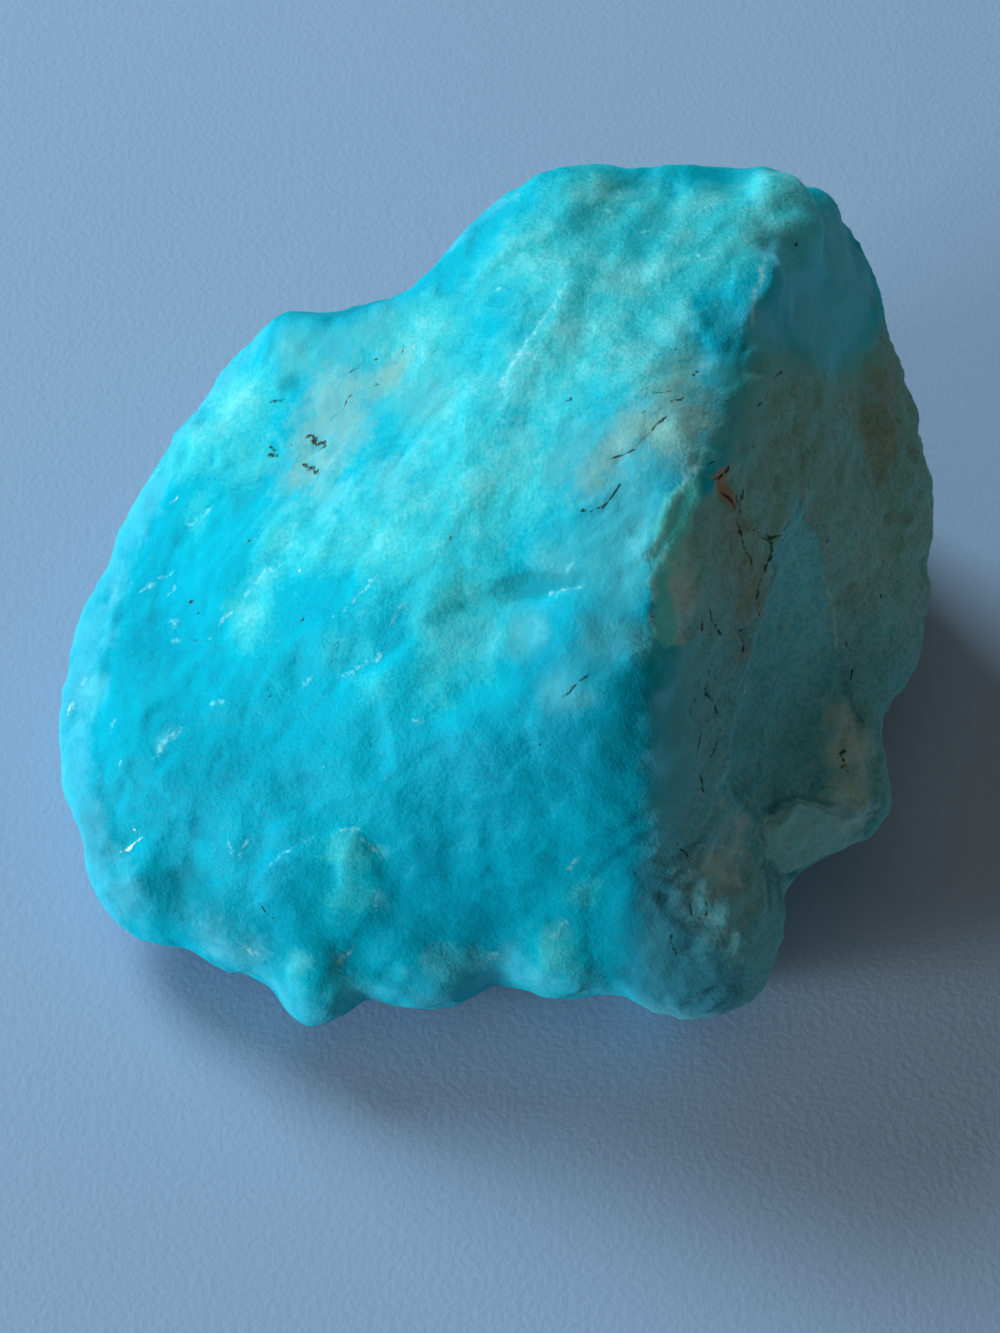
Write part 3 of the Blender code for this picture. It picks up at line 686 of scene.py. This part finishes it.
# Lines on the stone: how far each reaches, then the line in the view.
LINES = {
    "crack": (
        (0.35, 740, 492, 736, 520, 742, 548), (0.35, 710, 608, 712, 622, 718, 634),
        (0.35, 709, 668, 706, 682, 702, 694), (0.35, 695, 722, 698, 735, 696, 748),
        (0.35, 752, 530, 764, 540, 780, 536, 788, 520), (0.35, 770, 545, 771, 566),
        (0.35, 612, 458, 622, 454, 634, 452), (0.30, 634, 450, 645, 440, 656, 424, 670, 416),
        (0.35, 656, 393, 672, 390), (0.30, 574, 508, 590, 511, 604, 507, 620, 486),
        (0.35, 845, 640, 852, 660, 850, 680), (0.35, 586, 675, 576, 687, 567, 695),
        (0.30, 266, 405, 275, 401, 284, 400), (0.30, 751, 442, 752, 456), (0.40, 672, 935, 674, 946, 678, 956),
        (0.30, 762, 832, 766, 850, 762, 868), (0.35, 712, 481, 723, 473), (0.30, 725, 488, 729, 502),
        (0.30, 735, 492, 731, 508), (0.30, 703, 458, 707, 466, 714, 463), (0.30, 203, 513, 212, 502),
        (0.25, 333, 648, 338, 643), (0.30, 700, 775, 704, 792), (0.30, 838, 745, 846, 762),
        (0.25, 404, 346, 400, 360), (0.25, 432, 356, 438, 349), (0.25, 676, 842, 690, 860),
        (0.25, 740, 715, 738, 740), (0.30, 768, 388, 764, 398), (0.25, 780, 370, 772, 378),
        (0.30, 692, 700, 686, 712), (0.30, 706, 900, 708, 915), (0.30, 735, 500, 740, 512, 736, 524),
        (0.30, 742, 548, 752, 560, 748, 575), (0.28, 717, 600, 722, 615, 716, 630),
        (0.28, 700, 690, 712, 700, 716, 716), (0.28, 716, 716, 722, 730, 715, 745, 708, 760),
        (0.26, 762, 525, 770, 535), (0.28, 772, 540, 768, 560, 760, 575), (0.25, 758, 600, 752, 625),
        (0.25, 748, 640, 744, 660), (0.26, 820, 515, 825, 530, 822, 545), (0.28, 868, 290, 874, 297, 880, 304),
        (0.25, 878, 330, 884, 345), (0.24, 760, 402, 752, 412), (0.22, 300, 395, 318, 388, 330, 378),
        (0.22, 330, 420, 345, 405, 352, 396), (0.22, 352, 372, 366, 362, 378, 360), (0.20, 380, 345, 392, 338),
        (0.20, 300, 425, 312, 418), (0.22, 845, 470, 850, 482), (0.22, 700, 640, 706, 655),
        (0.22, 640, 395, 652, 388), (0.22, 655, 405, 668, 412), (0.25, 690, 905, 694, 920),
        (0.30, 760, 570, 748, 620, 742, 650), (0.25, 876, 575, 880, 600),
    ),
    "speck": (
        (0.50, 273, 449, 278, 453), (0.35, 281, 452, 283, 450), (0.40, 277, 457, 282, 455),
        (0.30, 268, 459, 273, 458), (0.30, 292, 446), (0.28, 308, 440), (0.70, 315, 440, 321, 443, 326, 446),
        (0.50, 322, 449, 326, 444), (0.60, 307, 466, 313, 469, 318, 472), (0.35, 251, 538),
        (0.28, 190, 602, 193, 600), (0.32, 197, 613), (0.28, 193, 641, 196, 642), (0.45, 298, 623, 304, 617),
        (0.28, 237, 706, 240, 701), (0.25, 268, 697, 271, 694), (0.25, 282, 340), (0.40, 262, 907, 264, 910),
        (0.35, 271, 917, 275, 920), (0.45, 693, 376, 696, 370), (0.35, 672, 402, 682, 398), (0.35, 645, 411),
        (0.30, 571, 402), (0.30, 584, 511), (0.28, 673, 351), (0.35, 652, 613), (0.40, 534, 748, 540, 744),
        (0.40, 701, 626), (0.30, 735, 532), (0.30, 394, 365), (0.45, 842, 752), (0.40, 848, 768),
        (0.30, 836, 730), (0.30, 716, 822), (0.30, 700, 918), (0.30, 786, 250), (0.35, 822, 522),
        (0.25, 376, 385), (0.25, 451, 538), (0.60, 720, 478, 726, 470), (0.55, 728, 496, 732, 504),
    ),
    # Painted shade: dark lines in creases, along the gully's edge and under the shelf.
    "crease_shade_lines": (
        (0.7, 800, 503, 792, 524, 779, 562, 769, 602, 760, 642),
        (0.6, 762, 812, 778, 802, 796, 789, 815, 797, 838, 804),
        (0.9, 767, 872, 781, 879, 805, 869, 822, 860, 856, 850), (0.8, 761, 822, 763, 850, 769, 880, 772, 905),
        (0.6, 662, 915, 658, 882, 670, 862, 698, 842), (0.7, 740, 800, 752, 812, 762, 828),
        (0.6, 838, 655, 846, 690, 862, 720),
    ),
    # Painted highlights: bright lines along edges that catch the light, as the shelf's top, the gully's edge
    # and the lip's lit side.
    "brink": (
        (0.40, 764, 821, 773, 814, 787, 801, 798, 797, 812, 804, 836, 811),
        (0.40, 790, 528, 777, 560, 767, 600, 758, 640), (0.55, 749, 688, 738, 724, 728, 765, 718, 790),
        (0.65, 699, 468, 679, 490, 669, 518, 659, 543, 650, 556),
        (0.60, 657, 570, 652, 585, 658, 594, 651, 615, 655, 636), (0.40, 823, 575, 831, 608, 836, 650),
        (0.45, 760, 262, 757, 280, 752, 300, 750, 325), (0.35, 866, 830, 876, 818, 884, 796),
        (0.35, 700, 845, 730, 850, 756, 866), (0.35, 926, 500, 933, 516, 930, 530),
        (0.35, 536, 356, 520, 352, 508, 372, 502, 392),
    ),
    # Partly the stone's white streaks, partly painted highlights on small ridges and the edges of steps.
    "streak": (
        (0.9, 566, 288, 552, 310, 535, 332, 520, 350, 508, 368), (0.8, 503, 376, 500, 390),
        (0.6, 505, 408, 504, 420), (0.6, 540, 356, 548, 352), (0.5, 494, 292, 500, 288),
        (0.5, 690, 220, 700, 212, 712, 204), (0.7, 625, 190, 617, 197), (0.6, 206, 516, 213, 507),
        (0.5, 185, 527, 195, 522), (0.6, 145, 590, 160, 580, 172, 572), (0.6, 170, 595, 178, 586),
        (0.9, 246, 594, 262, 578, 278, 567), (0.5, 222, 622, 232, 612), (0.5, 212, 638, 218, 632),
        (0.7, 176, 622), (0.6, 176, 640), (0.45, 335, 618, 352, 606, 378, 575),
        (0.6, 345, 676, 362, 666, 378, 656), (0.6, 75, 690, 90, 676), (0.7, 69, 712, 75, 700),
        (0.5, 110, 735, 115, 722), (0.8, 158, 752, 168, 742, 180, 730), (0.5, 215, 704, 230, 702),
        (0.5, 250, 836, 246, 848, 242, 857), (0.5, 231, 845, 233, 853), (0.4, 218, 846),
        (0.5, 415, 720, 424, 722), (0.6, 366, 843, 380, 853), (0.7, 374, 905, 377, 885),
        (0.5, 340, 832, 356, 829), (0.35, 268, 868, 290, 850, 312, 838), (0.6, 545, 596, 560, 591, 580, 587),
        (0.5, 569, 570, 576, 561), (0.6, 488, 960, 498, 951), (0.6, 552, 936, 566, 922),
        (0.6, 340, 960, 350, 948), (0.7, 244, 945, 256, 955), (0.5, 570, 868, 577, 858),
        (0.5, 788, 780, 786, 796), (0.5, 762, 868, 768, 900, 762, 930), (0.4, 652, 585, 654, 600),
        (0.5, 425, 340, 414, 346), (0.5, 205, 400, 224, 392), (0.5, 145, 480, 160, 462),
        (0.4, 662, 318, 655, 320), (0.4, 640, 232, 655, 228, 668, 236), (0.4, 600, 205, 612, 214),
        (0.4, 690, 250, 702, 262, 716, 258), (0.4, 390, 626, 397, 612, 405, 606), (0.4, 300, 690, 312, 676),
    ),
    # Painted glints: small white spots where the broken faces would flash.
    "glint": (
        (0.45, 120, 852, 130, 846, 139, 839), (0.35, 133, 828, 140, 835), (0.40, 172, 504, 178, 499),
        (0.35, 117, 770, 124, 763), (0.30, 71, 670), (0.35, 69, 710, 72, 704), (0.35, 537, 447),
        (0.30, 413, 654), (0.25, 323, 768), (0.25, 386, 777), (0.30, 364, 805), (0.30, 554, 821),
        (0.28, 476, 940), (0.30, 301, 571), (0.35, 358, 381), (0.28, 342, 615), (0.30, 250, 589, 256, 584),
        (0.30, 553, 931), (0.28, 562, 925), (0.28, 570, 935), (0.30, 248, 948), (0.25, 263, 948),
        (0.28, 346, 952), (0.25, 532, 187), (0.30, 826, 712), (0.30, 848, 744), (0.28, 856, 796),
        (0.25, 932, 516), (0.22, 444, 403), (0.22, 450, 415), (0.25, 541, 287), (0.30, 500, 384),
        (0.25, 756, 270), (0.22, 750, 298), (0.25, 168, 744), (0.22, 152, 781), (0.22, 176, 500),
    ),
    # Painted rim light: thin bright lines along the edges of the outline.
    "painted_rim_light": (
        (1.1, 262, 322, 240, 352, 200, 396, 172, 440, 150, 478),
        (1.5, 214, 944, 236, 957, 262, 972, 290, 1000, 318, 1014, 345, 1000, 375, 992, 440, 998, 480, 985, 512,
         968, 545, 982, 590, 990, 625, 988),
        (0.7, 405, 278, 425, 263, 450, 250, 480, 222, 500, 203),
    ),
}


# How noise moves the edges of zones: its size, how far it moves them, and its seeds. Areas and
# patches take these shares of the wide and the fine together.
WIDE = (4.5, 1.0, (21.0, 37.0, 53.0))
FINE = (1.6, 0.6, (61.0, 67.0, 73.0))
KINKED = (0.9, 0.14, (95.0, 97.0, 99.0))
AREA_WANDER = 0.35
PATCH_WANDER = 0.5

# Out of view the dull skin grows this way from this far out, and from this height downwards, and
# each is full this much further.
BACK_WAY = np.array((0.60, 0.62, -0.50))
BACK_START = -1.0
BACK_FADE = 8.0
UNDER_START = 2.5
UNDER_FADE = 4.0
UNDER_SHARE = 0.7

# Turns of smoothing of the measured bend, and what brings it to about 0 to 1.
BEND_TURNS = 4
BEND_GAIN = 6.0


def zones_of(stone):
    """The masks that the finish reads, each from 0 to 1 at every point of the skin."""
    tree = tree_of(stone)
    points, facing = points_of(stone)
    front = in_front(points, facing)
    away = wander(points, *WIDE) + wander(points, *FINE)
    places = view_of(points + AREA_WANDER * away)
    nearby = points + PATCH_WANDER * away
    zones = {name: patch_field(tree, nearby, patches) for name, patches in PATCHES.items()}
    for name, areas in AREAS.items():
        zones[name] = area_field(places, front, areas)
    kinked = points + wander(points, *KINKED)
    for name, lines in LINES.items():
        zones[name], zones[name + "_side"] = line_field(tree, kinked, facing, lines)
    zones["dull"] = np.minimum(zones["dull"] + hidden_dull(points) * (1.0 - front), 1.0)
    return zones


def hidden_dull(points):
    """The back and the underside of the stone are dull and earthy too, in patches."""
    back = smooth((points @ BACK_WAY - BACK_START) / BACK_FADE + 0.35 * clouds(points, size=9.0, seed=91.0))
    under = smooth((UNDER_START - points[:, 2]) / UNDER_FADE + 0.3 * clouds(points, size=5.0, seed=83.0))
    return np.maximum(back, UNDER_SHARE * under)


def store(stone, name, values):
    layer = stone.data.attributes.new(name, "FLOAT", "POINT")
    layer.data.foreach_set("value", values.astype(np.float32))


def store_bend(stone):
    """Stores how far the skin bulges, from 0 in creases to 1 on rims, with 0.5 on flats."""
    points, facing = points_of(stone)
    bend = ((points - neighbour_mean(stone, points)) * facing).sum(axis=1) / SKIN_SQUARE
    for _ in range(BEND_TURNS):
        bend = 0.5 * bend + 0.5 * neighbour_mean(stone, bend)
    store(stone, "bend", np.clip(0.5 + BEND_GAIN * bend, 0.0, 1.0))


def build_stone():
    stone = even_skin()
    wear(stone)
    zones = zones_of(stone)
    roughen(stone, zones)
    keep_in_box(stone)
    for name, values in zones.items():
        store(stone, name, values)
    store_bend(stone)
    for face in stone.data.polygons:
        face.use_smooth = True
    return stone


# ---------------------------------------------------------------- the finish

# The patterns in the stone: size in millimetres, detail, roughness, and whether it follows the grain.
# The sugar of the real skin is about 0.1 mm; it is drawn at 0.3 mm, because finer would not show.
PATTERNS = {
    "cloud": (8.0, 3.0, 0.50, False),
    "drift": (3.0, 3.0, 0.55, True),
    "fibre": (1.0, 2.0, 0.60, True),
    "crumb": (0.40, 2.0, 0.75, False),
    "patchy": (2.0, 3.0, 0.62, False),
    "torn": (0.55, 2.0, 0.65, False),
    "sugar": (0.30, 1.5, 0.70, False),
}
GRAIN_STRETCH = 2.2

# Sums of zones and patterns, each part with its share.
SUMS = {
    # The bend paints creases deeper and rims paler: painted shade in the creases and a painted glow on the
    # rims.
    "tone": (
        ("cloud", 0.62), ("drift", 0.12), ("patchy", 0.17), ("sugar", 0.34), ("pale", 0.34), ("deep", -0.26),
        ("bend", 0.14), ("core", -0.09),
    ),
    "veil": (
        ("drift", 0.3), ("patchy", 0.8), ("torn", 0.7), ("white", 0.35), ("pale", 0.12), ("deep", -0.20),
        ("core", -0.22),
    ),
    "milk": (("white", 1.0), ("patchy", 0.8), ("torn", 0.6)),
    "threads": (("fibre", 1.0), ("cloud", -0.3), ("torn", 0.3)),
    "edge": (("rim", 1.0), ("painted_rim_light", 1.0), ("torn", 1.0), ("drift", 1.4), ("patchy", 1.2)),
    "earth": (("dull", 1.0), ("torn", 0.20), ("patchy", 0.20)),
    "olive": (
        ("dull", 1.0), ("patchy", 0.9), ("drift", 0.5), ("rust", 0.4), ("blue", -0.8), ("light", -0.4),
        ("gully", -0.5), ("cool", -0.15),
    ),
    "blue_and_painted_glow": (("blue", 1.0), ("patchy", 0.5)),
    "slate": (("gully", 1.0), ("torn", 0.4), ("patchy", 0.4)),
    "chill": (("cool", 1.0), ("dull", 1.0), ("patchy", 0.5)),
    "painted_shade_on_dull": (("painted_shade_spots", 1.0), ("dull", 1.0), ("patchy", 0.3)),
    "moss": (("shelf", 1.0), ("patchy", 0.4)),
    "painted_ledge_light": (("ledge", 1.0), ("patchy", 0.8), ("torn", 0.4)),
    "painted_light": (("dull", 1.0), ("light", 1.0), ("patchy", 0.9), ("sugar", 0.5)),
    "frost": (("crust", 1.0), ("torn", 0.9), ("crumb", 0.9)),
    "grit": (("dull", 1.0), ("crumb", 1.5), ("sugar", 0.5)),
    "dust": (("dull", 1.0), ("crumb", -1.5), ("torn", -0.5)),
    "beige": (("stain", 1.0), ("patchy", 1.2), ("torn", 0.8)),
    "iron": (("rust", 1.0), ("patchy", 1.0), ("torn", 0.5)),
    "flesh": (("scab", 1.0), ("torn", 0.5)),
    "blue_and_painted_lip_shadow": (("blue_and_lip_shadow_areas", 1.0), ("drift", 0.6), ("torn", 0.4)),
    "shade": (("painted_shade_spots", 1.0), ("patchy", 0.3)),
    "painted_deep_shade": (("painted_deep_shade_spots", 1.0), ("patchy", 0.2)),
    "dim": (("grey", 1.0), ("patchy", 0.4)),
    "painted_crease_shade": (("crease_shade_lines", 1.2), ("crease_shade_lines_off", -0.4), ("torn", 0.8)),
    "painted_edge_highlight": (("brink", 1.2), ("brink_off", -0.4), ("torn", 0.9)),
    "streaks_and_painted_highlights": (("streak", 1.2), ("streak_off", -0.4), ("torn", 1.3), ("sugar", 0.5)),
    "split": (("crack", 1.2), ("crack_off", -0.4), ("torn", 0.6)),
    "dirt": (("speck", 1.2), ("speck_off", -0.4), ("torn", 0.6), ("sugar", 0.8)),
    "painted_glint": (("glint", 1.2), ("glint_off", -0.4), ("torn", 0.6)),
}

# The coats over the body colour, in order: the sum, where it starts and is full, its strength, its colour.
COATS = (
    # The shade coat is painted shade on the fresh stone, from the shade spots.
    ("shade", 0.20, 1.10, 0.60, "#00808E"),
    ("dim", 0.35, 1.30, 0.62, "#58ABB0"),
    # Partly deep blue patches, partly the painted shadow under the lip.
    ("blue_and_painted_lip_shadow", 0.70, 1.60, 0.60, "#1B929E"),
    ("veil", 1.00, 1.35, 0.22, "#7EDEE2"),
    # Mostly whitish spots, and partly the painted light of the white spots by the crest.
    ("milk", 0.95, 1.80, 0.36, "#72DEE4"),
    ("threads", 0.72, 0.84, 0.12, "#0088A4"),
    # Partly the paler rim, partly painted glow and rim light along the edges.
    ("edge", 2.05, 3.05, 0.32, "#70CEE4"),
    ("beige", 1.20, 2.30, 0.50, "#A9C4AA"),
    ("earth", 0.40, 1.15, 0.92, "#74BCB7"),
    ("olive", 1.50, 2.05, 0.55, "#7F8C74"),
    # Partly the bluer stone, partly the painted glow on the shoulder.
    ("blue_and_painted_glow", 0.45, 1.15, 0.80, "#62D4F0"),
    ("slate", 0.72, 1.08, 0.72, "#5ACADC"),
    ("chill", 1.10, 2.10, 0.70, "#49A8BC"),
    # Painted shade on the dull skin, from the same shade spots.
    ("painted_shade_on_dull", 1.25, 2.10, 0.75, "#2F858A"),
    ("moss", 0.62, 0.85, 0.80, "#7AC6C8"),
    # Painted light on the ledge.
    ("painted_ledge_light", 0.80, 1.45, 0.72, "#68E2DC"),
    # Painted light on the dull skin, from the light spots.
    ("painted_light", 2.10, 2.90, 0.70, "#BCE0DC"),
    ("grit", 1.92, 2.35, 0.24, "#3C5E56"),
    ("dust", -0.12, 0.16, 0.20, "#A5C6BC"),
    ("frost", 1.82, 2.20, 0.40, "#C4DCDA"),
    ("iron", 1.00, 1.90, 0.28, "#7E7E5E"),
    ("flesh", 0.60, 0.85, 0.80, "#9C8B76"),
    # Painted deep shade, from the darkest shade spots.
    ("painted_deep_shade", 0.22, 1.20, 0.68, "#22687A"),
    # Painted shade in the creases.
    ("painted_crease_shade", 1.00, 1.70, 0.42, "#1D4C50"),
    # Painted highlights along the edges.
    ("painted_edge_highlight", 1.25, 1.70, 0.55, "#A6E2E2"),
    # Partly white streaks, partly painted highlights on small ridges.
    ("streaks_and_painted_highlights", 1.80, 2.30, 0.50, "#AEF4F8"),
    ("split", 1.20, 1.38, 0.85, "#17302C"),
    ("dirt", 1.60, 1.76, 0.90, "#33301F"),
    # Painted glints.
    ("painted_glint", 1.28, 1.46, 0.90, "#F2FDFC"),
)

# Deep to pale, with where each sits in the tone.
BODY = ((0.0, "#009AB0"), (0.30, "#00AFC5"), (0.56, "#00BACC"), (0.80, "#3CCBD1"), (1.0, "#70DADA"))
TONE_RANGE = (0.34, 1.14)

# Roughness: waxy on fresh stone and a little uneven along the grain, duller on the earthy skin, and
# glassy at the painted glints.
WAXY = 0.42
UNEVEN = 0.14
DULLER = 0.16
GLASSY = -0.25

# The finest relief, from patterns and coats, each with its share.
RELIEF = (
    ("sugar", 0.7), ("torn", 0.7), ("crumb", 0.8), ("grit", -1.0), ("dust", 0.8), ("streaks_and_painted_highlights", 0.4),
    ("split", -0.9), ("dirt", -0.6),
)
RELIEF_DEPTH = 0.30
RELIEF_STRENGTH = 0.30


def colour(code):
    """An sRGB hex colour as linear red, green, blue and alpha."""
    parts = [int(code[place:place + 2], 16) / 255 for place in (1, 3, 5)]
    return (*[part / 12.92 if part <= 0.04045 else ((part + 0.055) / 1.055) ** 2.4 for part in parts], 1.0)


def per_size(size):
    """The noise scale whose patches are about this many millimetres across."""
    return 1.0 / (size * MM)


def add(tree, kind, settings=None, links=None, out=0):
    """Adds a node with its settings and links, and gives the socket that comes out of it."""
    node = tree.nodes.new(kind)
    for name, value in (settings or {}).items():
        if isinstance(name, str) and hasattr(node, name):
            setattr(node, name, value)
        else:
            node.inputs[name].default_value = value
    for name, source in (links or {}).items():
        tree.links.new(source, node.inputs[name])
    return node.outputs[out]


def fields_of(tree):
    """Every zone, pattern and sum of them, by name."""
    plain = add(tree, "ShaderNodeTexCoord", out="Object")
    settings = {"operation": "DOT_PRODUCT", 1: tuple(GRAIN)}
    along = add(tree, "ShaderNodeVectorMath", settings, {0: plain}, out="Value")
    pull = tuple(GRAIN * (1.0 / GRAIN_STRETCH - 1.0))
    shift = add(tree, "ShaderNodeVectorMath", {"operation": "SCALE", 0: pull}, {"Scale": along})
    grained = add(tree, "ShaderNodeVectorMath", {"operation": "ADD"}, {0: plain, 1: shift})
    fields = {}
    for name in ("bend", *PATCHES, *AREAS, *LINES):
        fields[name] = add(tree, "ShaderNodeAttribute", {"attribute_name": name}, out="Fac")
    for name in LINES:
        side = add(tree, "ShaderNodeAttribute", {"attribute_name": name + "_side"}, out="Fac")
        fields[name + "_off"] = add(tree, "ShaderNodeMath", {"operation": "ABSOLUTE"}, {0: side})
    for name, (size, detail, rough, follows) in PATTERNS.items():
        settings = {"Scale": per_size(size), "Detail": detail, "Roughness": rough}
        fields[name] = add(tree, "ShaderNodeTexNoise", settings, {"Vector": grained if follows else plain})
    for name, parts in SUMS.items():
        total = None
        for part, share in parts:
            links = {0: fields[part]} if total is None else {0: fields[part], 2: total}
            total = add(tree, "ShaderNodeMath", {"operation": "MULTIPLY_ADD", 1: share, 2: 0.0}, links)
        fields[name] = total
    return fields


def hemimorphite_finish():
    """Massive hemimorphite, a zinc silicate: broken, waxy, a little see-through at its thin edges.
    To the eye that is soft clouds of turquoise with a low gloss, and no hard shadow edge on the skin."""
    material = bpy.data.materials.new("hemimorphite_raw")
    material.use_nodes = True
    tree = material.node_tree
    shader = tree.nodes["Principled BSDF"]
    fields = fields_of(tree)

    low, high = TONE_RANGE
    tone = add(tree, "ShaderNodeMapRange", {"From Min": low, "From Max": high}, {"Value": fields["tone"]})
    body = add(tree, "ShaderNodeValToRGB", None, {"Fac": tone})
    stops = body.node.color_ramp.elements
    stops[0].color = colour(BODY[0][1])
    stops[1].color = colour(BODY[-1][1])
    for place, code in BODY[1:-1]:
        stops.new(place).color = colour(code)

    shares = {}
    for name, start, full, strength, code in COATS:
        settings = {"interpolation_type": "SMOOTHSTEP", "From Min": start, "From Max": full, "To Max": strength}
        shares[name] = add(tree, "ShaderNodeMapRange", settings, {"Value": fields[name]})
        # A colour mix takes its two colours at sockets 6 and 7, and gives the mixed one at socket 2.
        links = {"Factor": shares[name], 6: body}
        body = add(tree, "ShaderNodeMix", {"data_type": "RGBA", 7: colour(code)}, links, out=2)
    tree.links.new(body, shader.inputs["Base Color"])

    gloss = add(tree, "ShaderNodeMath", {"operation": "MULTIPLY_ADD", 1: UNEVEN, 2: WAXY}, {0: fields["fibre"]})
    for source, share in ((fields["dull"], DULLER), (shares["painted_glint"], GLASSY)):
        links = {0: source, 2: gloss}
        gloss = add(tree, "ShaderNodeMath", {"operation": "MULTIPLY_ADD", 1: share}, links)
    tree.links.new(gloss, shader.inputs["Roughness"])

    sources = {**fields, **shares}
    height = None
    for name, share in RELIEF:
        links = {0: sources[name]} if height is None else {0: sources[name], 2: height}
        height = add(tree, "ShaderNodeMath", {"operation": "MULTIPLY_ADD", 1: share, 2: 0.0}, links)
    settings = {"Strength": RELIEF_STRENGTH, "Distance": RELIEF_DEPTH * MM}
    bump = add(tree, "ShaderNodeBump", settings, {"Height": height})
    tree.links.new(bump, shader.inputs["Normal"])
    for name, value in (
        ("IOR", 1.62),
        ("Metallic", 0.0),
        ("Specular IOR Level", 0.03),
        ("Subsurface Weight", 0.50),
        ("Subsurface Scale", 1.1 * MM),
        ("Subsurface Radius", (0.15, 0.9, 1.0)),
    ):
        shader.inputs[name].default_value = value
    return material


def paper_finish():
    """A sheet of matt pale blue drawing paper: no gloss, and a faint tooth."""
    material = bpy.data.materials.new("paper")
    material.use_nodes = True
    tree = material.node_tree
    shader = tree.nodes["Principled BSDF"]
    shader.inputs["Base Color"].default_value = colour("#A3C1DE")
    shader.inputs["Roughness"].default_value = 0.9
    shader.inputs["Specular IOR Level"].default_value = 0.2
    place = add(tree, "ShaderNodeTexCoord", out="Object")
    tooth = add(tree, "ShaderNodeTexNoise", {"Scale": per_size(0.5), "Detail": 2.0}, {"Vector": place})
    bump = add(tree, "ShaderNodeBump", {"Strength": 0.3, "Distance": 0.12 * MM}, {"Height": tooth})
    tree.links.new(bump, shader.inputs["Normal"])
    return material


# ---------------------------------------------------------------- floor, light and camera

# Half the side of the paper.
FLOOR_HALF = 900.0

# Soft lights that all point at the stone: where each is, its size, its power and its colour.
LIGHTS = {
    "window": ((-425.0, 480.0, 475.0), 340.0, 5.0, "#DCF1FF"),
    "reflector": ((-545.0, -235.0, 95.0), 180.0, 3.6, "#E6F4FF"),
    "fill": ((450.0, -330.0, 110.0), 180.0, 0.23, "#FFE8D2"),
    "softbox": ((-70.0, -70.0, 690.0), 600.0, 0.31, "#FFECD8"),
}
# The room's own faint light: its colour and strength.
ROOM = ("#FFE6CE", 0.06)


def build_floor():
    half = FLOOR_HALF * MM
    mesh = bpy.data.meshes.new("floor")
    corners = [(-half, -half, 0), (half, -half, 0), (half, half, 0), (-half, half, 0)]
    mesh.from_pydata(corners, [], [(0, 1, 2, 3)])
    mesh.materials.append(paper_finish())
    link("floor", mesh)


def build_light():
    for name, (place, size, power, code) in LIGHTS.items():
        lamp = bpy.data.lights.new(name, "AREA")
        lamp.size = size * MM
        lamp.energy = power
        lamp.color = colour(code)[:3]
        light = link(name, lamp)
        light.location = Vector(place) * MM
        light.rotation_euler = (-light.location).to_track_quat("-Z", "Y").to_euler()
    world = bpy.data.worlds.new("room")
    world.use_nodes = True
    room = world.node_tree.nodes["Background"]
    room.inputs["Color"].default_value = colour(ROOM[0])
    room.inputs["Strength"].default_value = ROOM[1]
    bpy.context.scene.world = world


def build_camera():
    eye, right, up, forward = sight_axes()
    lens = bpy.data.cameras.new("camera")
    lens.lens = LENS
    lens.sensor_width = SENSOR
    lens.shift_x = (VIEW_SIZE[0] / 2 - VIEW_MIDDLE[0]) / VIEW_SIZE[1]
    lens.shift_y = (VIEW_MIDDLE[1] - VIEW_SIZE[1] / 2) / VIEW_SIZE[1]
    lens.clip_start = 10.0 * MM
    lens.clip_end = 10.0
    camera = link("camera", lens)
    turn = Matrix((right, up, -forward)).transposed().to_4x4()
    camera.matrix_world = Matrix.Translation(Vector(eye) * MM) @ turn
    bpy.context.scene.camera = camera


build_camera()
build_floor()
build_light()
bpy.context.scene.view_settings.view_transform = "Standard"
noise.seed_set(NOISE_SEED)
stone = build_stone()
stone.data.materials.clear()
stone.data.materials.append(hemimorphite_finish())
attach(stone, "root")
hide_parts("hemimorphite")
